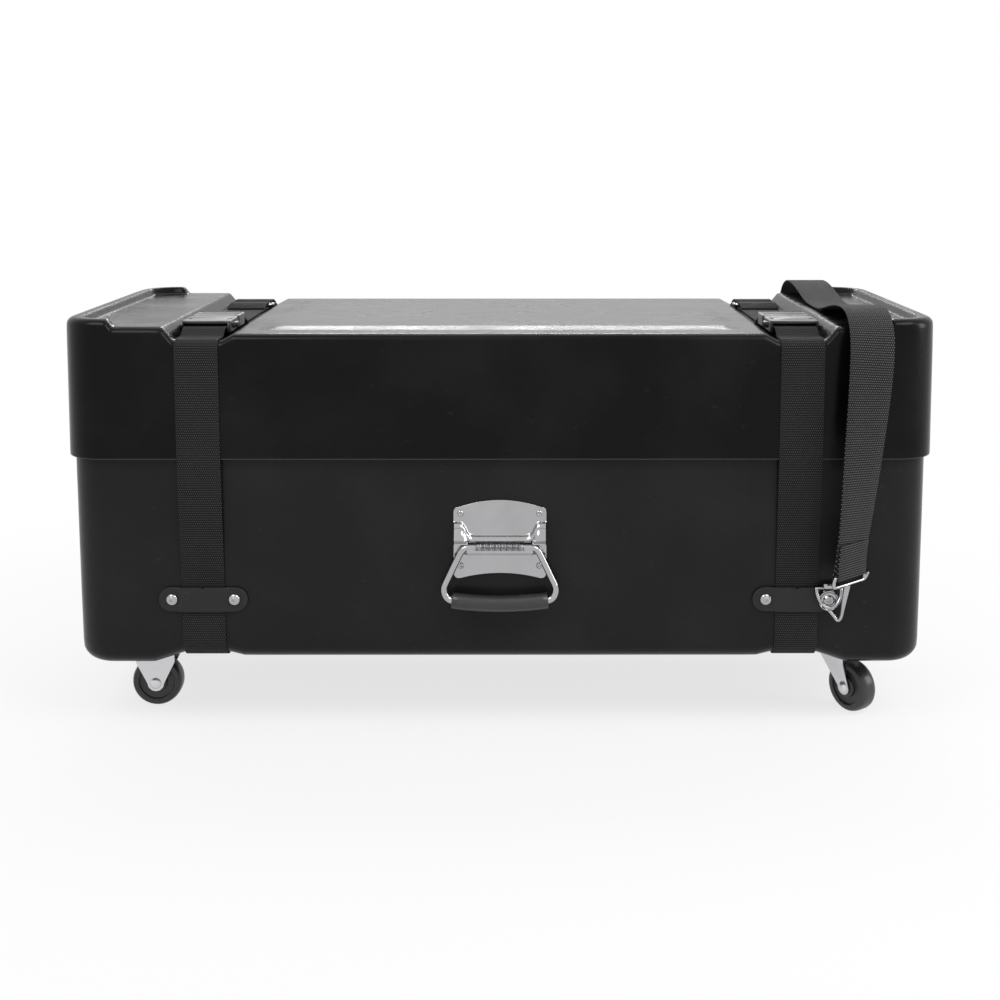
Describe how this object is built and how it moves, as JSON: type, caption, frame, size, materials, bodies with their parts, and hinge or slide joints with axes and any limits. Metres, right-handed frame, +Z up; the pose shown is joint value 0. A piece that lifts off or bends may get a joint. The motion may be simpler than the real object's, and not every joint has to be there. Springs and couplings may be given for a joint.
{
  "type": "accessory case",
  "caption": "Black moulded equipment case on casters, with a telescoping lid, buckled webbing straps, drop handles and a tow strap.",
  "frame": {"origin": "on the floor under the middle of the case, where its wheels stand", "axes": "+X along the case towards the swivel casters and the tow strap, -Y the front face, +Z up"},
  "size_m": [1.035, 0.454, 0.5094],
  "materials": {
    "shell": "fine satin grain of rotomoulded polyethylene",
    "webbing": "ribbed polypropylene weave",
    "buckle": "semi-gloss moulded acetal",
    "retainer": "smooth stiff black vinyl",
    "grip": "soft black vinyl",
    "chrome": "polished",
    "zinc": "bright zinc plate",
    "wheel": "hard black tread"
  },
  "bodies": {
    "base": {"base_shell": "shell", "left_strap_under": "webbing", "right_strap_under": "webbing", "left_retainer_front": "retainer", "left_inner_rivet_front": "chrome", "left_outer_rivet_front": "chrome", "right_retainer_front": "retainer", "right_inner_rivet_front": "chrome", "right_outer_rivet_front": "chrome", "tow_ring_clip_front": "chrome", "tow_ring_front": "chrome", "tow_hook_front": "chrome", "handle_plate_front": "chrome", "left_front_caster_fork": "zinc", "left_front_caster_axle": "zinc", "right_front_caster_plate": "zinc", "left_retainer_back": "retainer", "left_inner_rivet_back": "chrome", "left_outer_rivet_back": "chrome", "right_retainer_back": "retainer", "right_inner_rivet_back": "chrome", "right_outer_rivet_back": "chrome", "tow_ring_clip_back": "chrome", "tow_ring_back": "chrome", "tow_hook_back": "chrome", "handle_plate_back": "chrome", "left_back_caster_fork": "zinc", "left_back_caster_axle": "zinc", "right_back_caster_plate": "zinc"},
    "lid": {"lid_shell": "shell", "tow_strap": "webbing", "left_strap_back": "webbing", "left_strap_top": "webbing", "left_strap_loop": "chrome", "left_buckle_plug": "buckle", "right_strap_back": "webbing", "right_strap_top": "webbing", "right_strap_loop": "chrome", "right_buckle_plug": "buckle"},
    "left_buckle_front": {"left_buckle_socket": "buckle", "left_strap_front": "webbing"},
    "left_outer_button": {"left_buckle_outer_button": "buckle"},
    "left_inner_button": {"left_buckle_inner_button": "buckle"},
    "right_buckle_front": {"right_buckle_socket": "buckle", "right_strap_front": "webbing"},
    "right_outer_button": {"right_buckle_outer_button": "buckle"},
    "right_inner_button": {"right_buckle_inner_button": "buckle"},
    "front_bail": {"handle_bail_front": "chrome", "handle_grip_front": "grip"},
    "left_front_wheel": {"left_front_caster_wheel": "wheel"},
    "right_front_swivel": {"right_front_caster_fork": "zinc", "right_front_caster_axle": "zinc"},
    "right_front_wheel": {"right_front_caster_wheel": "wheel"},
    "back_bail": {"handle_bail_back": "chrome", "handle_grip_back": "grip"},
    "left_back_wheel": {"left_back_caster_wheel": "wheel"},
    "right_back_swivel": {"right_back_caster_fork": "zinc", "right_back_caster_axle": "zinc"},
    "right_back_wheel": {"right_back_caster_wheel": "wheel"}
  },
  "joints": [
    {"name": "lid_lift", "type": "slide", "parent": "base", "child": "lid", "axis": [0, 0, 1], "range_m": [0, 0.2]},
    {"name": "left_buckle_release", "type": "slide", "parent": "lid", "child": "left_buckle_front", "axis": [0, -1, 0], "range_m": [0, 0.042]},
    {"name": "left_outer_button_squeeze", "type": "hinge", "parent": "lid", "child": "left_outer_button", "pos_m": [-0.372, -0.0902, 0.4829], "axis": [0, 0, 1], "range_deg": [0, 10], "stiffness_Nm_per_rad": 0.3},
    {"name": "left_inner_button_squeeze", "type": "hinge", "parent": "lid", "child": "left_inner_button", "pos_m": [-0.334, -0.0902, 0.4829], "axis": [0, 0, -1], "range_deg": [0, 10], "stiffness_Nm_per_rad": 0.3},
    {"name": "right_buckle_release", "type": "slide", "parent": "lid", "child": "right_buckle_front", "axis": [0, -1, 0], "range_m": [0, 0.042]},
    {"name": "right_outer_button_squeeze", "type": "hinge", "parent": "lid", "child": "right_outer_button", "pos_m": [0.372, -0.0902, 0.4829], "axis": [0, 0, -1], "range_deg": [0, 10], "stiffness_Nm_per_rad": 0.3},
    {"name": "right_inner_button_squeeze", "type": "hinge", "parent": "lid", "child": "right_inner_button", "pos_m": [0.334, -0.0902, 0.4829], "axis": [0, 0, 1], "range_deg": [0, 10], "stiffness_Nm_per_rad": 0.3},
    {"name": "front_handle_swing", "type": "hinge", "parent": "base", "child": "front_bail", "pos_m": [0, -0.1944, 0.2275], "axis": [-1, 0, 0], "range_deg": [0, 95]},
    {"name": "left_front_wheel_roll", "type": "hinge", "parent": "base", "child": "left_front_wheel", "pos_m": [-0.432, -0.106, 0.031], "axis": [0, 1, 0], "continuous": true},
    {"name": "right_front_caster_swivel", "type": "hinge", "parent": "base", "child": "right_front_swivel", "pos_m": [0.424, -0.106, 0.0682], "axis": [0, 0, 1], "continuous": true},
    {"name": "right_front_wheel_roll", "type": "hinge", "parent": "right_front_swivel", "child": "right_front_wheel", "pos_m": [0.43725, -0.1272, 0.031], "axis": [0.848, 0.5299, 0], "continuous": true},
    {"name": "back_handle_swing", "type": "hinge", "parent": "base", "child": "back_bail", "pos_m": [0, 0.1944, 0.2275], "axis": [1, 0, 0], "range_deg": [0, 95]},
    {"name": "left_back_wheel_roll", "type": "hinge", "parent": "base", "child": "left_back_wheel", "pos_m": [-0.432, 0.106, 0.031], "axis": [0, 1, 0], "continuous": true},
    {"name": "right_back_caster_swivel", "type": "hinge", "parent": "base", "child": "right_back_swivel", "pos_m": [0.424, 0.106, 0.0682], "axis": [0, 0, 1], "continuous": true},
    {"name": "right_back_wheel_roll", "type": "hinge", "parent": "right_back_swivel", "child": "right_back_wheel", "pos_m": [0.43725, 0.0848, 0.031], "axis": [0.848, 0.5299, 0], "continuous": true}
  ]
}
